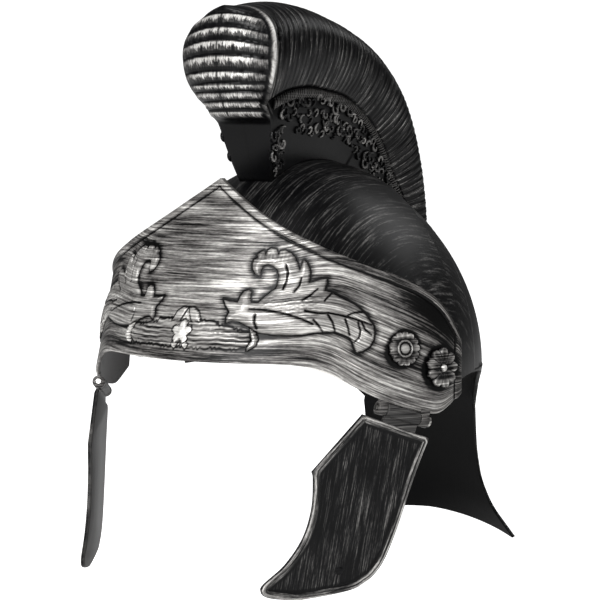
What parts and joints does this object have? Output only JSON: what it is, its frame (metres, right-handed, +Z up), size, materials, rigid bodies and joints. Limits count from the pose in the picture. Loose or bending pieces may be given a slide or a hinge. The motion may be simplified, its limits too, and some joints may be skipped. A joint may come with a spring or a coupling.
{
  "type": "costume legionary helmet",
  "caption": "Moulded plastic Roman legionary helmet with an arched crest, a pointed relief brow plate, a flared neck guard and hinged cheek guards that hang at the sides.",
  "frame": {"origin": "the inside of the crown, on the middle plane, where the helmet sits on a head", "axes": "+Z up, -Y the way the wearer faces, +X the wearer's left"},
  "size_m": [0.2316, 0.2807, 0.3214],
  "materials": {
    "streaked_plastic": "black plastic with grey brush streaks",
    "silver_brushed_plastic": "black plastic dry-brushed with silver",
    "crest_plastic": "black plastic with silver on its raised parts",
    "guard_plastic": "black plastic with grey streaks and a silver border",
    "pin_plastic": "silver"
  },
  "bodies": {
    "helmet": {"skull_front": "streaked_plastic", "skull_rear": "streaked_plastic", "brow_plate": "silver_brushed_plastic", "rosette_left_front": "silver_brushed_plastic", "rosette_left_rear": "silver_brushed_plastic", "rosette_right_front": "silver_brushed_plastic", "rosette_right_rear": "silver_brushed_plastic", "crest_left": "crest_plastic", "crest_right": "crest_plastic", "hinge_pin_left": "pin_plastic", "hinge_pin_right": "pin_plastic"},
    "cheek_left": {"cheek_guard_left": "guard_plastic"},
    "cheek_right": {"cheek_guard_right": "guard_plastic"}
  },
  "joints": [
    {"name": "cheek_left_hinge", "type": "hinge", "parent": "helmet", "child": "cheek_left", "pos_m": [0.10125, -0.05901, -0.12746], "axis": [-0.4988, -0.8102, 0.3077], "range_deg": [-20, 95]},
    {"name": "cheek_right_hinge", "type": "hinge", "parent": "helmet", "child": "cheek_right", "pos_m": [-0.10125, -0.05901, -0.12746], "axis": [-0.4988, 0.8102, -0.3077], "range_deg": [-20, 95]}
  ]
}
